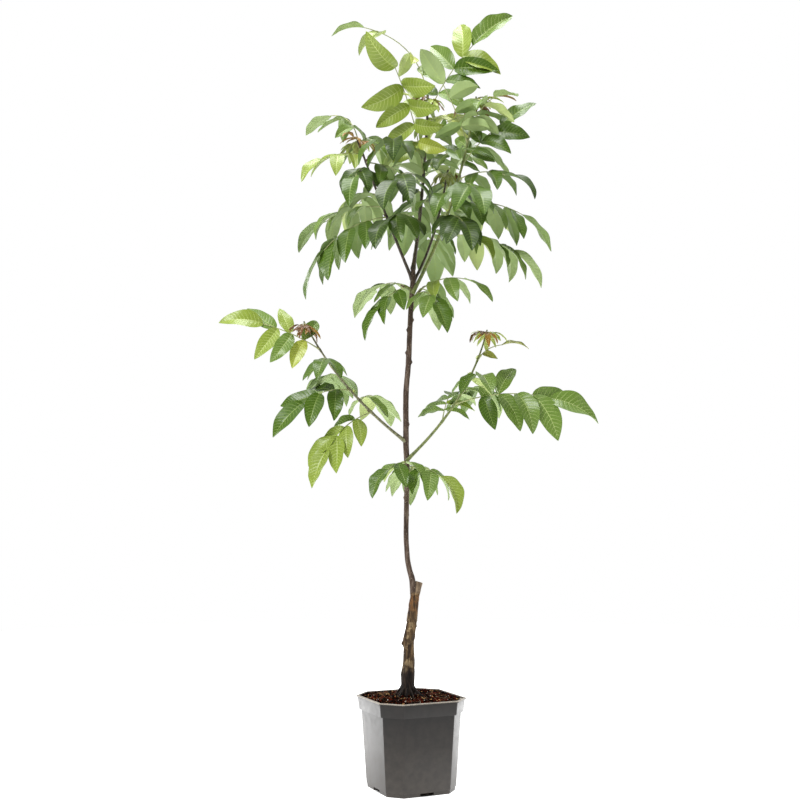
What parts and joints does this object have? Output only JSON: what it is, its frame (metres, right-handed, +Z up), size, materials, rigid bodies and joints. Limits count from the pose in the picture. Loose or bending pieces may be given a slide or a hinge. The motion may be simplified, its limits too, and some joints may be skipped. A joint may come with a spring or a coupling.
{
  "type": "young walnut tree in a nursery pot",
  "caption": "Young grafted walnut tree with drooping pinnate leaves on slim boughs, growing in a filled nursery pot, a square with cut corners.",
  "frame": {"origin": "centre of the pot's flat underside", "axes": "+Z up the trunk, +X to the right of the front view, +Y away from its viewer"},
  "size_m": [0.8012, 0.538, 1.6592],
  "materials": {
    "pot_plastic": "satin moulded",
    "potting_mix": "rough, moist bark and coir",
    "old_bark": "matt bark",
    "young_bark": "smooth young bark",
    "walnut_leaf": "soft satin leaf"
  },
  "bodies": {
    "root": {"pot": "pot_plastic", "soil": "potting_mix", "trunk": "old_bark", "left_bough": "young_bark", "leader_bough": "young_bark", "back_bough": "young_bark", "right_bough": "young_bark", "low_left_bough": "young_bark", "low_right_bough": "young_bark", "left_foliage": "walnut_leaf", "top_foliage": "walnut_leaf", "back_foliage": "walnut_leaf", "right_foliage": "walnut_leaf", "low_left_foliage": "walnut_leaf", "low_right_foliage": "walnut_leaf", "fork_left_foliage": "walnut_leaf", "fork_right_foliage": "walnut_leaf", "under_foliage": "walnut_leaf"}
  },
  "joints": []
}
